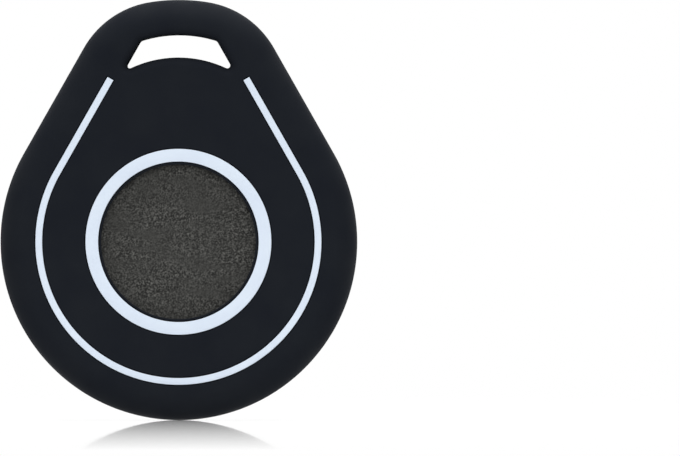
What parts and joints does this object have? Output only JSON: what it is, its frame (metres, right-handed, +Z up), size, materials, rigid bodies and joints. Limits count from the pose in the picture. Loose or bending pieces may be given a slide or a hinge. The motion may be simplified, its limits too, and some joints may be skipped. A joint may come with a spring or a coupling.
{
  "type": "key fob cover",
  "caption": "Soft drop-shaped silicone cover with a ring slot, white line inlays and a round window, on the one-button radio fob that it holds.",
  "frame": {"origin": "upper edge of the key-ring slot, on the middle line and half way through the thickness, where the key ring carries the part", "axes": "+Z up towards the crown, -Y out of the front face with the button, +X to the right seen from the front"},
  "size_m": [0.042, 0.0118, 0.0495],
  "materials": {
    "black_silicone": "matte, soft touch",
    "white_silicone": "matte",
    "shell_plastic": "fine moulded",
    "button_plastic": "spark-eroded grain",
    "board_laminate": "solder mask",
    "part_plastic": "moulded",
    "part_ceramic": "fired ceramic",
    "antenna_ceramic": "fired ceramic",
    "switch_steel": "stamped",
    "cell_steel": "drawn, nickel plated",
    "cell_cap": "drawn, nickel plated",
    "gasket_nylon": "moulded",
    "contact_nickel": "nickel plated",
    "seal_rubber": "moulded",
    "screw_steel": "zinc plated"
  },
  "bodies": {
    "cover_and_fob": {"cover_sleeve": "black_silicone", "cover_line_inlay": "white_silicone", "cover_ring_inlay": "white_silicone", "fob_front_shell": "shell_plastic", "fob_rear_shell": "shell_plastic", "circuit_board": "board_laminate", "switch_base": "part_plastic", "switch_frame": "switch_steel", "radio_chip": "part_plastic", "buffer_capacitor": "part_ceramic", "chip_antenna": "antenna_ceramic", "crystal": "switch_steel", "coin_cell_can": "cell_steel", "coin_cell_gasket": "gasket_nylon", "coin_cell_cap": "cell_cap", "contact_positive": "contact_nickel", "contact_negative": "contact_nickel", "shell_screw_1": "screw_steel", "shell_screw_2": "screw_steel", "shell_screw_3": "screw_steel"},
    "button": {"fob_button": "button_plastic"},
    "switch_stem": {"switch_plunger": "part_plastic"},
    "door": {"battery_door": "shell_plastic", "door_seal": "seal_rubber"}
  },
  "joints": [
    {"name": "button_press", "type": "slide", "parent": "cover_and_fob", "child": "button", "axis": [0, 1, 0], "range_m": [0, 0.0003], "stiffness_N_per_m": 2500},
    {"name": "plunger_travel", "type": "slide", "parent": "cover_and_fob", "child": "switch_stem", "axis": [0, 1, 0], "range_m": [0, 0.0003]},
    {"name": "door_turn", "type": "hinge", "parent": "cover_and_fob", "child": "door", "pos_m": [0, 0.00432, -0.0244], "axis": [0, 1, 0], "range_deg": [0, 45]}
  ],
  "couplings": [
    {"joint": "plunger_travel", "follows": "button_press", "ratio": 1}
  ]
}
